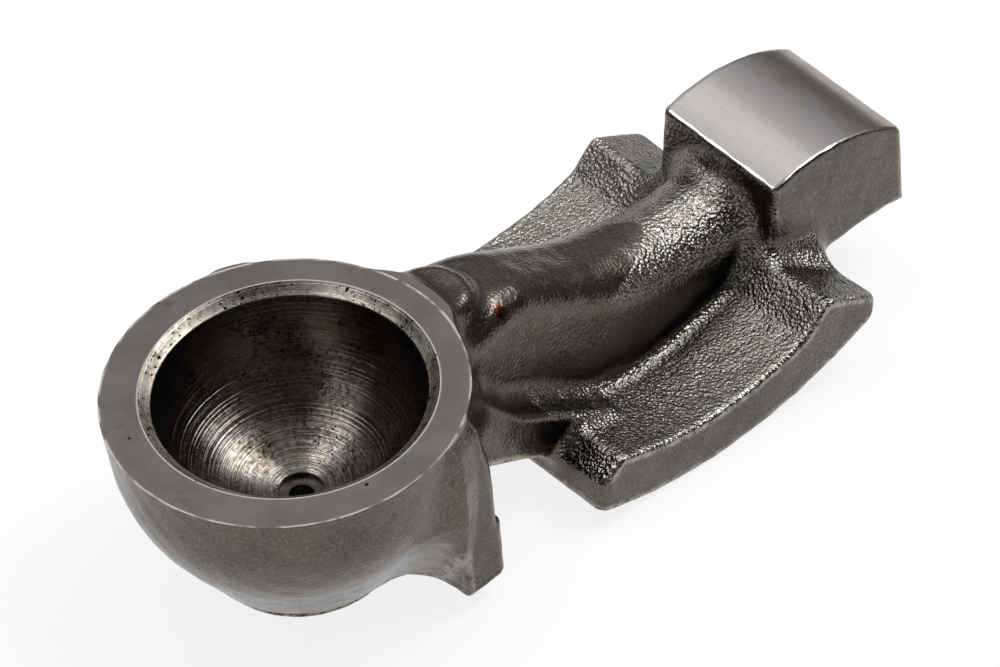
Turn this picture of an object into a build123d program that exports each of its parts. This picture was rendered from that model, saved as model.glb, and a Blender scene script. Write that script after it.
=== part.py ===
"""Finger-type rocker arm: a single drop forging with machined working faces.

The arm is modelled the way it is machined: the origin is the centre of the ball
socket, the socket opens upwards, the arm runs along +X and the forging is the
same on both sides of the XZ plane.  At the end it is turned about the origin so
that the foot under the socket and the curved cam face both touch a flat table.
"""
import os
from math import asin, atan2, cos, degrees, hypot, radians, sin, sqrt, tan

from build123d import *

# ---------------------------------------------------------------- main lengths
valve_reach = 46.7            # ball centre to the crown that rubs on the valve
cam_reach = 32.5              # ball centre to the lowest line of the cam face

# ---------------------------------------------------------------- ball socket
ball_radius = 10.0            # spherical seat for the pivot ball
rim_height = 0.7              # machined rim above the ball centre
mouth_chamfer = 0.85          # lead-in between the rim and the ball seat
oil_hole_radius = 0.95        # drilled through the bottom of the socket
centre_mark_radius = 1.7      # shallow centring recess round the oil hole
centre_mark_depth = 0.35      # how far that recess goes below the ball seat

# ------------------------------------------------------------------- cup body
cup_centre_x = -0.4           # the forged cup sits a little behind the socket
cup_rim_radius = 13.4
cup_knee_radius = 12.8        # the wall draws in to here with forging draft
cup_knee_depth = 6.5          # and turns in below the ball centre
cup_knee_rounding = 14.0
cup_base_radius = 7.2         # where the bowl meets the foot
cup_base_depth = 14.8
foot_radius = 6.9             # flat round boss under the cup
foot_depth = 15.9             # its face below the ball centre

# ------------------------------------------------- lugs for the retaining clip
lug_reach = 12.6              # end face of each lug from the middle of the arm
lug_front = 4.4               # face of the lug away from the arm
lug_back_rim = 6.9            # back of the lug at the rim
lug_back_shoulder = 7.8       # and at its shoulder
lug_back_foot = 8.15          # and below the step
lug_shoulder_depth = 5.1
lug_step_depth = 10.4         # small step left by the trimming die
lug_step = 0.3                # how far the foot of the lug stands out below it
lug_depth = 16.1              # lower edge below the ball centre
lug_arch = 0.5                # hollow of the lower edge from lug to lug
lug_corner = 0.8              # rounding of the lower outer corners
lug_top_corner = 0.9          # rounding of the upper outer corners
lug_top_gap = 0.15            # that rounding starts this much above the rim

# ------------------------------------------------------------------ cam plate
cam_radius = 38.0             # sliding face that the camshaft lobe runs on
cam_depth = 19.85             # its lowest line below the ball centre
tray_radius = 27.2            # arc of the tray floor
tray_reach = 32.0             # ball centre to its lowest line
tray_depth = 15.7             # which lies this far below the ball centre
plate_half_width = 12.9       # wings on both sides of the spine
plate_front_corner = 0.9      # rounding of its upright front corners
plate_rear_corner = 1.0       # and of the rear ones
plate_front = 18.1            # upper front edge of the plate
plate_front_lean = 11.0       # degrees that the front face leans out below it
plate_rear = 46.6             # rear edge of the plate
bevel_run = 2.3               # slope at the front end of each wing
bevel_drop = 1.5
rear_lip_x = 41.7             # crest of the raised lip at the rear
rear_lip_height = 1.25        # crest above the tray floor
rear_lip_foot = 2.6           # run of the slope from the floor up to the crest
rear_slope = 31.0             # degrees that the lip falls off towards the rear
rear_low_rounding = 1.5       # lower rear edge of the plate
rear_top_rounding = 0.6       # upper rear edge
rear_low_share = 0.98         # most of the rear wall's height that the lower one takes
rear_top_share = 0.39         # and the upper one
lip_rounding = 0.9            # crest of the lip

# ------------------------------------------------- web between cup and plate
web_half_width = 7.8
web_top_cup = (9.5, -2.4)     # its upper edge leaves the cup here
web_top_break = (11.0, -3.6)
web_top_steep = (14.8, -8.2)  # falls steeply to here
web_top_plate = (19.3, -11.3)  # and lies flatter up to the plate
web_top_end = (23.4, -14.6)
web_low_end = (23.4, -18.9)   # its lower edge, inside the plate
web_low_plate = (18.2, -15.1)  # comes out of the front face of the plate
web_low_break = (14.5, -12.5)
web_low_cup = (11.7, -11.0)   # and turns into the wall of the cup
web_low_root = (9.0, -10.0)

# ---------------------------------------------------------------------- spine
spine_half_width = 4.9        # at the tray floor, along the middle stretch
spine_cup_half_width = 6.6    # where it runs into the cup
spine_flare_start = 11.0      # its flanks draw in from here
spine_flare_end = 21.0        # to here
spine_flare_radius = 14.0
spine_draft = 5.0             # degrees of forging draft on its flanks
spine_top_cup = -1.15         # top of the spine beside the cup
spine_top_pad = -8.3          # top of the spine along the low stretch
spine_knee_x = 18.8           # where the top starts to fall
spine_low_x = 31.6            # where the slope meets the low stretch
spine_knee_rounding = 12.0
spine_low_rounding = 26.0
spine_neck_run = 1.0          # it climbs to the pad from here before the pad's front
spine_neck_top = -6.75        # and meets the pad just under the crown
spine_neck_rounding = 1.6
spine_edge_rounding = 3.2     # along both top edges
cove_radius = 1.7             # in the corner between its flanks and the tray
cove_sink = 0.3               # how far the coves are let into the spine
spine_root_depth = 1.5        # how far it is sunk into the plate

# ---------------------------------------------- raised hump beside the rim
hump_length = 17.0            # end of the hump from the socket axis
hump_half_width = 3.2
hump_top = 0.3
hump_rounding = 1.0

# ------------------------------------------------------------------ valve pad
crown_radius = 15.5           # ground face that rubs on the valve stem
crown_z = -5.93               # highest line of the crown
pad_half_width = 5.95
pad_toe = 3.3                 # front edge of the pad before the crown's top line
pad_heel = 9.8                # rear face behind it
pad_front_rake = 9.0          # degrees that the front face leans under the pad
pad_depth = 17.45             # lower rear corner below the ball centre
pad_arch = 1.0                # hollow of the underside
pad_corner = 0.5              # rounding of its upright corners
pad_overlap = 1.5             # how far its underside reaches under the plate
grinding_stock = 1.0          # forged above the crown and ground away

# ------------------------------------------------------------- derived places
crown_x = valve_reach
pad_front = valve_reach - pad_toe
pad_rear = valve_reach + pad_heel
cam_centre_z = cam_radius - cam_depth
tray_centre_z = tray_radius - tray_depth
cam_low = (cam_reach, -cam_depth)
tray_low = (tray_reach, -tray_depth)


def cam_point(x: float) -> tuple[float, float]:
    """Point of the cam face at x."""
    return (x, cam_centre_z - sqrt(cam_radius**2 - (x - cam_reach) ** 2))


def tray_point(x: float) -> tuple[float, float]:
    """Point of the tray floor at x."""
    return (x, tray_centre_z - sqrt(tray_radius**2 - (x - tray_reach) ** 2))


# ------------------------------------------------------------------------ cup
with BuildPart() as cup:
    with BuildSketch(Plane.XZ) as cup_section:
        with BuildLine() as cup_outline:
            FilletPolyline(
                (cup_rim_radius, rim_height),
                (cup_knee_radius, -cup_knee_depth),
                (cup_base_radius, -cup_base_depth),
                radius=cup_knee_rounding,
            )
            Polyline(
                (cup_base_radius, -cup_base_depth),
                (foot_radius, -cup_base_depth),
                (foot_radius, -foot_depth),
                (0, -foot_depth),
                (0, rim_height),
                (cup_rim_radius, rim_height),
            )
        make_face()
    revolve(axis=Axis.Z)

# ----------------------------------------------------------------------- lugs
lug_crown = rim_height + lug_top_gap
lug_sag = lug_arch - lug_depth
with BuildPart() as lugs:
    with BuildSketch(Plane.YZ) as lug_front_view:
        with BuildLine() as lug_front_outline:
            ThreePointArc((-lug_reach, -lug_depth), (0, lug_sag), (lug_reach, -lug_depth))
            Polyline(
                (lug_reach, -lug_depth),
                (lug_reach, lug_crown),
                (-lug_reach, lug_crown),
                (-lug_reach, -lug_depth),
            )
        make_face()
        fillet(lug_front_view.vertices().group_by(Axis.Y)[0], lug_corner)
        fillet(lug_front_view.vertices().group_by(Axis.Y)[-1], lug_top_corner)
    extrude(amount=lug_back_foot)
    with BuildSketch(Plane.XZ) as lug_side:
        with BuildLine() as lug_outline:
            Polyline(
                (lug_front, rim_height),
                (lug_front, -lug_depth),
                (lug_back_foot, -lug_depth),
                (lug_back_foot, -lug_step_depth),
                (lug_back_foot - lug_step, -lug_step_depth),
                (lug_back_shoulder, -lug_shoulder_depth),
                (lug_back_rim, rim_height),
                close=True,
            )
        make_face()
    extrude(amount=2 * lug_reach, both=True, mode=Mode.INTERSECT)

# ------------------------------------------------------------------ cam plate
lip_crest = (rear_lip_x, tray_point(rear_lip_x)[1] + rear_lip_height)
lip_foot = tray_point(rear_lip_x - rear_lip_foot)
rear_drop = (plate_rear - rear_lip_x) * tan(radians(rear_slope))
rear_top = (plate_rear, lip_crest[1] - rear_drop)
bevel_top = tray_point(plate_front + bevel_run)
bevel_foot = (plate_front, bevel_top[1] - bevel_drop)
front_foot_x = plate_front - (bevel_foot[1] + cam_depth) * tan(radians(plate_front_lean)) / 2
rear_wall = rear_top[1] - cam_point(plate_rear)[1]
rear_low_fillet = min(rear_low_rounding, rear_low_share * rear_wall)
rear_top_fillet = min(rear_top_rounding, rear_top_share * rear_wall)
plate_length = plate_rear - front_foot_x
plate_middle = (plate_rear + front_foot_x) / 2
with BuildPart() as cam_plate:
    with BuildSketch(Plane.XZ) as plate_section:
        with BuildLine() as plate_outline:
            ThreePointArc(cam_point(front_foot_x), cam_low, cam_point(plate_rear))
            Polyline(cam_point(plate_rear), rear_top, lip_crest, lip_foot)
            ThreePointArc(lip_foot, tray_low, bevel_top)
            Polyline(bevel_top, bevel_foot, cam_point(front_foot_x))
        make_face()
        fillet(plate_section.vertices().group_by(Axis.X)[-1].sort_by(Axis.Y)[0], rear_low_fillet)
        fillet(plate_section.vertices().group_by(Axis.X)[-1].sort_by(Axis.Y)[-1], rear_top_fillet)
        fillet(plate_section.vertices().sort_by_distance((rear_lip_x, lip_crest[1]))[0], lip_rounding)
    extrude(amount=plate_half_width, both=True)
    with BuildSketch(Plane.XY) as plate_plan:
        with Locations((plate_middle, 0)):
            Rectangle(plate_length, 2 * plate_half_width)
        fillet(plate_plan.vertices().group_by(Axis.X)[0], plate_front_corner)
        fillet(plate_plan.vertices().group_by(Axis.X)[-1], plate_rear_corner)
    extrude(amount=-2 * cam_depth, mode=Mode.INTERSECT)

# ------------------------------------------------------------------------ web
with BuildPart() as web:
    with BuildSketch(Plane.XZ) as web_section:
        with BuildLine() as web_outline:
            Polyline((0, web_top_cup[1]), web_top_cup, web_top_break, web_top_steep, web_top_plate)
            Polyline(web_top_plate, web_top_end, web_low_end, web_low_plate, web_low_break)
            Polyline(web_low_break, web_low_cup, web_low_root, (0, web_low_root[1]))
            Line((0, web_low_root[1]), (0, web_top_cup[1]))
        make_face()
    extrude(amount=web_half_width, both=True)

# ---------------------------------------------------------------------- spine
spine_floor = -tray_depth
spine_root = spine_floor - spine_root_depth
with BuildPart() as spine:
    with BuildSketch(Plane.XZ) as spine_side:
        with BuildLine() as spine_line:
            FilletPolyline(
                (0, spine_top_cup),
                (spine_knee_x, spine_top_cup),
                (spine_low_x, spine_top_pad),
                (pad_front - spine_neck_run, spine_top_pad),
                (pad_front + spine_neck_run / 2, spine_neck_top),
                radius=[spine_knee_rounding, spine_low_rounding, spine_neck_rounding],
            )
            Polyline(
                (pad_front + spine_neck_run / 2, spine_neck_top),
                (crown_x, spine_neck_top),
                (crown_x, spine_root),
                (web_low_end[0], spine_root),
                web_low_plate,
                web_low_break,
                web_low_cup,
                (0, web_low_root[1]),
                (0, spine_top_cup),
            )
        make_face()
    extrude(amount=2 * spine_cup_half_width, both=True)
    with BuildSketch(Plane.XY.offset(spine_floor)) as spine_plan:
        with BuildLine() as spine_flank:
            FilletPolyline(
                (0, -spine_cup_half_width),
                (spine_flare_start, -spine_cup_half_width),
                (spine_flare_end, -spine_half_width),
                (crown_x, -spine_half_width),
                radius=spine_flare_radius,
            )
            Line((crown_x, -spine_half_width), (crown_x, 0))
            mirror(about=Plane.XZ)
            Line((0, -spine_cup_half_width), (0, spine_cup_half_width))
        make_face()
    extrude(amount=2 * foot_depth, taper=spine_draft, mode=Mode.INTERSECT)
    top_edges = [
        edge
        for edge in spine.edges()
        if abs(edge.center().Y) > 1.0 and edge.bounding_box().min.Z > spine_top_pad - 0.1
    ]
    fillet(top_edges, spine_edge_rounding)

# ---------------------------------------------------------------------- coves
# The corner between each flank of the spine and the tray floor is a cove that
# runs round the axis of the tray.
cove_side = spine_half_width - cove_sink
cove_foot = cove_side + cove_radius
cove_top = tray_centre_z - tray_radius + cove_radius
cove_hollow = cove_radius * (1 - cos(radians(45)))
tray_axis = Axis((tray_reach, 0, tray_centre_z), (0, 1, 0))
cove_start = degrees(asin((bevel_top[0] - tray_reach) / tray_radius))
cove_end = degrees(asin((rear_lip_x - tray_reach) / tray_radius))
with BuildPart() as coves:
    with BuildSketch(Plane.YZ.offset(tray_reach)) as cove_section:
        with BuildLine() as cove_outline:
            ThreePointArc(
                (cove_side, cove_top),
                (cove_side + cove_hollow, cove_hollow - tray_depth),
                (cove_foot, -tray_depth),
            )
            Polyline(
                (cove_foot, -tray_depth),
                (cove_foot, -tray_depth - cove_sink),
                (0, -tray_depth - cove_sink),
                (0, cove_top),
                (cove_side, cove_top),
            )
        make_face()
        mirror(about=Plane.YZ)
    revolve(axis=tray_axis, revolution_arc=cove_end - cove_start)

# ----------------------------------------------------------------------- hump
hump_shoulder = hump_length - hump_half_width
with BuildPart() as hump:
    with BuildSketch(Plane.XY.offset(hump_top)) as hump_plan:
        with BuildLine() as hump_outline:
            Line((0, -hump_half_width), (hump_shoulder, -hump_half_width))
            ThreePointArc(
                (hump_shoulder, -hump_half_width),
                (hump_length, 0),
                (hump_shoulder, hump_half_width),
            )
            Polyline((hump_shoulder, hump_half_width), (0, hump_half_width), (0, -hump_half_width))
        make_face()
    extrude(amount=-cup_knee_depth, taper=-spine_draft)
    fillet(hump.faces().sort_by(Axis.Z)[-1].edges(), hump_rounding)

# ------------------------------------------------------------------ valve pad
pad_top = crown_z + grinding_stock
pad_front_foot = pad_front - (pad_depth + crown_z) * tan(radians(pad_front_rake))
pad_bottom_start = plate_rear - pad_overlap
pad_bottom_middle = (pad_rear + pad_bottom_start) / 2
with BuildPart() as valve_pad:
    with BuildSketch(Plane.XZ) as pad_section:
        with BuildLine() as pad_outline:
            Polyline(
                (pad_rear, -pad_depth),
                (pad_rear, pad_top),
                (pad_front, pad_top),
                (pad_front_foot, -pad_depth),
                (pad_bottom_start, -pad_depth),
            )
            ThreePointArc(
                (pad_bottom_start, -pad_depth),
                (pad_bottom_middle, pad_arch - pad_depth),
                (pad_rear, -pad_depth),
            )
        make_face()
    extrude(amount=pad_half_width, both=True)
    upright_edges = [
        edge
        for edge in valve_pad.edges()
        if abs(edge.tangent_at(0.5).Z) > sqrt(0.5)
    ]
    fillet(upright_edges, pad_corner)
    with BuildSketch(Plane.XZ) as crown_section:
        with Locations((crown_x, crown_z - crown_radius)):
            Circle(crown_radius)
        with Locations((crown_x, -pad_depth)):
            Rectangle(4 * crown_radius, 2 * (pad_depth + crown_z - crown_radius / 2))
    extrude(amount=2 * pad_half_width, both=True, mode=Mode.INTERSECT)

# ---------------------------------------------------------------- the forging
with BuildPart() as forging:
    add(cup.part.moved(Location((cup_centre_x, 0, 0))))
    add(lugs.part)
    add(cam_plate.part)
    add(web.part)
    add(spine.part)
    add(coves.part.rotate(tray_axis, -cove_end))
    add(hump.part)
    add(valve_pad.part)

# ------------------------------------------------------------- machined faces
mouth_radius = ball_radius + mouth_chamfer
seat_middle = ball_radius * cos(radians(45))
mark_top = -sqrt(ball_radius**2 - centre_mark_radius**2)
mark_floor = -ball_radius - centre_mark_depth
with BuildPart() as socket:
    with BuildSketch(Plane.XZ) as socket_section:
        with BuildLine() as socket_outline:
            Polyline((0, rim_height), (mouth_radius, rim_height), (ball_radius, 0))
            ThreePointArc((ball_radius, 0), (seat_middle, -seat_middle), (centre_mark_radius, mark_top))
            Polyline(
                (centre_mark_radius, mark_top),
                (centre_mark_radius, mark_floor),
                (oil_hole_radius, mark_floor),
                (oil_hole_radius, -foot_depth),
                (0, -foot_depth),
                (0, rim_height),
            )
        make_face()
    revolve(axis=Axis.Z)

# ------------------------------------------------------ the finished rocker arm
# Lying on a flat table, the arm touches it with the rear edge of the foot and
# with the cam face.  The tilt makes both lie at the same height.
foot_edge_x = cup_centre_x - foot_radius
reach_x = cam_reach - foot_edge_x
reach_z = cam_centre_z + foot_depth
rest_tilt = degrees(asin(cam_radius / hypot(reach_x, reach_z)) - atan2(reach_z, reach_x))

with BuildPart() as machined:
    add(forging.part)
    add(socket.part, mode=Mode.SUBTRACT)

with BuildPart() as rocker_arm:
    add(machined.part.rotate(Axis.Y, -rest_tilt))
rocker_arm.part.label = "rocker_arm"

os.makedirs("parts", exist_ok=True)
export_step(rocker_arm.part, "parts/rocker_arm.step")
print(f"rest tilt {rest_tilt:.3f} degrees, volume {rocker_arm.part.volume:.1f} mm3")
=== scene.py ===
"""Looks of a finger-type rocker arm: one drop-forged steel piece with machined working faces.

The arm is worked out as a solid in its machining frame, in millimetres, with the
origin at the centre of the ball socket, then laid on the table and made a mesh.
"""

import logging
import math
from dataclasses import dataclass, field
from enum import Enum
from typing import Callable

import bpy
import numpy as np
from mathutils import Matrix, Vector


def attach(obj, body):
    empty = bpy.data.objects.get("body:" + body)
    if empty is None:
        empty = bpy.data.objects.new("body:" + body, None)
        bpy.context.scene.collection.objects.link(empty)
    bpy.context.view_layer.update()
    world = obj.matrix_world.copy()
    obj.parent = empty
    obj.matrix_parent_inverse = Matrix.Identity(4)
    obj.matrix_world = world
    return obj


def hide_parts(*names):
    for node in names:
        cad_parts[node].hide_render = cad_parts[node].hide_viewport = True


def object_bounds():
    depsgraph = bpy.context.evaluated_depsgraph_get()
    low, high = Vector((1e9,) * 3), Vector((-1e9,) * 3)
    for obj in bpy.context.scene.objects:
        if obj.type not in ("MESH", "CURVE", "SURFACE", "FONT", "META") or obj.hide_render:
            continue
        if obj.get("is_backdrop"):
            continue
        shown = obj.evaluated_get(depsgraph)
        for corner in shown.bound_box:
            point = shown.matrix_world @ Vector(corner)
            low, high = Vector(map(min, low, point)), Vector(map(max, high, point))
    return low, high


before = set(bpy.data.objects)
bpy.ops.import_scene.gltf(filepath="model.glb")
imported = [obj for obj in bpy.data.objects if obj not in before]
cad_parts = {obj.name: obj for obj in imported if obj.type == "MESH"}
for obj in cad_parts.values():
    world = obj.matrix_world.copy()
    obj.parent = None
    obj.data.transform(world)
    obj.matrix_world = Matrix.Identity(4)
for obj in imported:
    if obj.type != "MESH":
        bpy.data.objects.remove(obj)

Array = np.ndarray
Field = Callable[[Array, Array, Array], Array]
MM = 0.001
PER_METRE = 1000.0
REST_TILT = math.radians(5.962)
READINGS = 4  # of the field at each place where a grid edge crosses the surface
END_SHARE = 0.02  # how near to the ends of what is left of the edge they come
FLAT_SHARE = 0.06  # of a cube's steepest curvature, under which a way counts as flat
STRAY = 0.15  # how far a vertex may leave its cube, in cubes
log = logging.getLogger("rocker arm")


# ------------------------------------------------------------ solids as fields
def outline(corners: list[tuple[float, float, float]], steps: int = 7) -> Array:
    """Lay out a closed outline whose corners are rounded.

    A rounded corner is a circular arc that touches both of its sides: its centre
    lies on the bisector at radius / sin(half angle), and the arc is divided evenly.

    Args:
        corners: (u, v, radius) of each corner in order; radius 0 keeps it sharp.
        steps: points along each arc.

    Returns:
        An (n, 2) array of points, without the first one repeated.
    """
    points = np.array([c[:2] for c in corners], float)
    laid: list[Array] = []
    for index, (_, _, radius) in enumerate(corners):
        here = points[index]
        if radius <= 0:
            laid.append(here[None])
            continue
        back = points[index - 1] - here
        ahead = points[(index + 1) % len(points)] - here
        back /= np.linalg.norm(back)
        ahead /= np.linalg.norm(ahead)
        half = np.arccos(np.clip(back @ ahead, -1, 1)) / 2
        bisector = (back + ahead) / np.linalg.norm(back + ahead)
        centre = here + bisector * radius / np.sin(half)
        start = here + back * radius / np.tan(half) - centre
        end = here + ahead * radius / np.tan(half) - centre
        first = np.arctan2(start[1], start[0])
        turn = np.arctan2(start[0] * end[1] - start[1] * end[0], start @ end)
        angle = first + turn * np.linspace(0, 1, steps)
        laid.append(centre + radius * np.column_stack([np.cos(angle), np.sin(angle)]))
    return np.vstack(laid)


def inside_outline(u: Array, v: Array, corners: Array) -> Array:
    """Signed distance to a closed outline: the nearest of its sides, negative inside.

    Args:
        u: first coordinate of the points, any shape that broadcasts with v.
        v: second coordinate.
        corners: (n, 2) corners of the outline.

    Returns:
        The distances, in the shape that u and v broadcast to.
    """
    nearest = np.inf
    inside = False
    for (u0, v0), (u1, v1) in zip(corners, np.roll(corners, -1, axis=0)):
        du, dv = u1 - u0, v1 - v0
        along = np.clip(((u - u0) * du + (v - v0) * dv) / (du * du + dv * dv), 0, 1)
        nearest = np.minimum(nearest, (u - u0 - along * du) ** 2 + (v - v0 - along * dv) ** 2)
        if dv:
            inside = inside ^ (((v0 > v) != (v1 > v)) & (u < u0 + (v - v0) * du / dv))
    return np.where(inside, -1.0, 1.0) * np.sqrt(nearest)


def weld(a: Array, b: Array, radius: Array | float) -> Array:
    """Join two solids, with a fillet in the hollow between them.

    Where both distances are under the radius, the new surface runs on a circle whose
    centre lies that radius outside of both solids.

    Args:
        a: signed distances to the first solid.
        b: signed distances to the second.
        radius: radius of the fillet, one for all points or one for each.

    Returns:
        Signed distances to both together.
    """
    reach = np.hypot(np.maximum(radius - a, 0), np.maximum(radius - b, 0))
    return np.maximum(radius, np.minimum(a, b)) - reach


def trim(a: Array, b: Array, radius: Array | float) -> Array:
    """Keep what two solids share, with the edge between them rounded.

    Args:
        a: signed distances to the first solid.
        b: signed distances to the second.
        radius: radius of the edge, one for all points or one for each.

    Returns:
        Signed distances to what they share.
    """
    reach = np.hypot(np.maximum(radius + a, 0), np.maximum(radius + b, 0))
    return np.minimum(-radius, np.maximum(a, b)) + reach


@dataclass(frozen=True)
class Cup:
    """Forged bowl round the ball socket, with its flat foot."""

    centre_x: float = -0.4
    rim_radius: float = 13.4
    rim_height: float = 0.7
    knee_radius: float = 12.8
    knee_depth: float = 6.5
    knee_rounding: float = 14.0
    base_radius: float = 7.5
    base_depth: float = 14.8
    base_rounding: float = 0.8
    above_rim: float = 2.0
    foot_radius: float = 6.9
    foot_depth: float = 15.9
    foot_height: float = 4.0
    foot_fillet: float = 0.6
    foot_edge: float = 0.35

    def distance(self, x: Array, y: Array, z: Array) -> Array:
        """A turned outline: the bowl's wall runs on above the rim, where it is faced off.

        Args:
            x, y, z: coordinates of the points, in millimetres.

        Returns:
            Signed distances, negative inside.
        """
        r = np.hypot(x - self.centre_x, y)
        top = self.rim_height + self.above_rim
        flare = (self.rim_radius - self.knee_radius) / (self.rim_height + self.knee_depth)
        wall = outline(
            [
                (-self.rim_radius, top, 0),
                (self.rim_radius + self.above_rim * flare, top, 0),
                (self.knee_radius, -self.knee_depth, self.knee_rounding),
                (self.base_radius, -self.base_depth, self.base_rounding),
                (-self.rim_radius, -self.base_depth, 0),
            ],
            steps=12,
        )
        bowl = inside_outline(r, z, wall)
        foot = trim(r - self.foot_radius, -self.foot_depth - z, self.foot_edge)
        foot = np.maximum(foot, z + self.foot_depth - self.foot_height)
        return weld(bowl, foot, self.foot_fillet)


@dataclass(frozen=True)
class Lugs:
    """Fins on both sides of the bowl that the retaining clip holds on to."""

    reach: float = 12.6
    front: float = 4.4
    back_rim: float = 7.05
    back_shoulder: float = 8.0
    back_step: float = 8.05
    back_foot: float = 8.4
    shoulder_depth: float = 5.1
    shoulder_rounding: float = 6.0
    step_depth: float = 10.4
    step_run: float = 0.3
    step_foot_rounding: float = 0.2
    step_rounding: float = 0.1
    depth: float = 16.1
    arch: float = 0.5
    corner: float = 0.8
    top: float = 0.4
    top_corner: float = 1.2
    front_edge: float = 0.45
    back_edge: float = 1.0
    edge_start: float = 1.0
    edge_run: float = 1.5
    above: float = 3.0
    above_run: float = 0.6
    below: float = 1.0

    def distance(self, x: Array, y: Array, z: Array) -> Array:
        """A side outline carried from end face to end face, hollowed from below by an arc.

        Args:
            x, y, z: coordinates of the points, in millimetres.

        Returns:
            Signed distances, negative inside.
        """
        side = outline(
            [
                (self.front, self.above, 0),
                (self.front, -self.depth - self.below, 0),
                (self.back_foot, -self.depth - self.below, 0),
                (self.back_foot, -self.step_depth - self.step_run, self.step_foot_rounding),
                (self.back_step, -self.step_depth, self.step_rounding),
                (self.back_shoulder, -self.shoulder_depth, self.shoulder_rounding),
                (self.back_rim, self.top, 0),
                (self.back_rim - self.above_run, self.above, 0),
            ],
            steps=4,
        )
        radius = (self.reach**2 + self.arch**2) / (2 * self.arch)
        arched = radius - np.hypot(y, z + self.depth - self.arch + radius)
        end = trim(np.abs(y) - self.reach, z - self.top, self.top_corner)
        end = trim(end, arched, self.corner)
        toward_back = np.clip((x - self.front - self.edge_start) / self.edge_run, 0, 1)
        edge = self.front_edge + (self.back_edge - self.front_edge) * toward_back
        return trim(inside_outline(x, z, side), end, edge)


@dataclass(frozen=True)
class CamPlate:
    """Curved plate under the arm: sliding face below, a tray on each side above."""

    cam_radius: float = 38.0
    cam_low: float = -19.85
    cam_x: float = 32.5
    tray_radius: float = 27.2
    tray_low: float = -15.8
    tray_x: float = 32.0
    half_width: float = 12.95
    front: float = 18.0
    front_lean: float = 0.19
    front_rounding: float = 0.5
    rear: float = 46.7
    bevel_run: float = 2.3
    bevel_drop: float = 1.5
    bevel_rounding: float = 1.0
    lip_x: float = 41.7
    lip_height: float = 1.25
    lip_foot: float = 2.6
    lip_foot_rounding: float = 2.2
    rear_slope: float = 31.0
    rear_top_rounding: float = 0.8
    rear_low_rounding: float = 1.2
    lip_rounding: float = 0.9
    front_corner: float = 0.9
    rear_corner: float = 0.9
    side_edge: float = 0.4
    cam_edge: float = 0.25
    dish: float = 0.3
    dish_start: float = 5.0
    skew: float = 0.017
    below: float = 3.0
    tray_points: int = 24
    lip_clear: float = 1.2
    bevel_clear: float = 1.0

    def tray(self, x: float) -> float:
        """Height of the tray floor, an arc whose axis lies across the arm.

        Args:
            x: place along the arm.

        Returns:
            The height there.
        """
        reach = np.sqrt(self.tray_radius**2 - (x - self.tray_x) ** 2)
        return self.tray_low + self.tray_radius - float(reach)

    def distance(self, x: Array, y: Array, z: Array) -> Array:
        """The tray's outline and the cam circle share the section, which is carried across.

        The tray is dished: its floor rises towards the sides with the square of the way.

        Args:
            x, y, z: coordinates of the points, in millimetres.

        Returns:
            Signed distances, negative inside.
        """
        crest = (self.lip_x, self.tray(self.lip_x) + self.lip_height)
        drop = (self.rear - self.lip_x) * np.tan(np.radians(self.rear_slope))
        bevel_x = self.front + self.bevel_run
        bevel_z = self.tray(bevel_x) - self.bevel_drop
        first = self.lip_x - self.lip_foot
        bottom = self.cam_low - self.below
        run = np.linspace(first - self.lip_clear, bevel_x + self.bevel_clear, self.tray_points)
        section = outline(
            [
                (self.front + self.front_lean * (bottom - bevel_z), bottom, 0),
                (self.rear, bottom, 0),
                (self.rear, crest[1] - drop, self.rear_top_rounding),
                (*crest, self.lip_rounding),
                (first, self.tray(first), self.lip_foot_rounding),
                *((float(u), self.tray(float(u)), 0) for u in run),
                (bevel_x, self.tray(bevel_x), self.bevel_rounding),
                (self.front, bevel_z, self.front_rounding),
            ],
            steps=6,
        )
        x = x - self.skew * y
        side_way = np.maximum(np.abs(y) - self.dish_start, 0) / (self.half_width - self.dish_start)
        profile = inside_outline(x, z - self.dish * side_way**2, section)
        cam = np.hypot(x - self.cam_x, z - self.cam_low - self.cam_radius) - self.cam_radius
        cam = trim(cam, x - self.rear, self.rear_low_rounding)
        body = trim(profile, cam, self.cam_edge)
        side = trim(np.abs(y) - self.half_width, x - self.rear, self.rear_corner)
        side = trim(side, self.front + self.front_lean * (z - bevel_z) - x, self.front_corner)
        return trim(body, side, self.side_edge)


@dataclass(frozen=True)
class Web:
    """Ledge that ties the bowl to the front of the cam plate.

    Corners of its outline are (x, z, rounding); it starts inside the bowl.
    """

    half_width: float = 7.8
    top: tuple[tuple[float, float, float], ...] = (
        (9.5, -2.4, 1.0), (11.0, -3.6, 1.0), (14.8, -8.2, 4.0), (19.3, -11.3, 5.0), (23.4, -14.6, 0)
    )
    bottom: tuple[tuple[float, float, float], ...] = (
        (23.4, -18.9, 0), (18.2, -15.1, 0), (14.5, -12.5, 6.0), (11.7, -11.0, 0), (9.0, -10.0, 0)
    )
    top_edge: float = 0.6
    low_edge: float = 0.25
    middle_z: float = 1.5
    middle_slope: float = -0.9

    def distance(self, x: Array, y: Array, z: Array) -> Array:
        """A sloping outline carried across the arm, its upper edges rounder than the lower.

        Args:
            x, y, z: coordinates of the points, in millimetres.

        Returns:
            Signed distances, negative inside.
        """
        first, last = (0, self.top[0][1], 0), (0, self.bottom[-1][1], 0)
        side = outline([first, *self.top, *self.bottom, last], steps=5)
        upper = np.clip((z - (self.middle_z + self.middle_slope * x)) / 2 + 0.5, 0, 1)
        edge = self.low_edge + (self.top_edge - self.low_edge) * upper
        return trim(inside_outline(x, z, side), np.abs(y) - self.half_width, edge)


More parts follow.
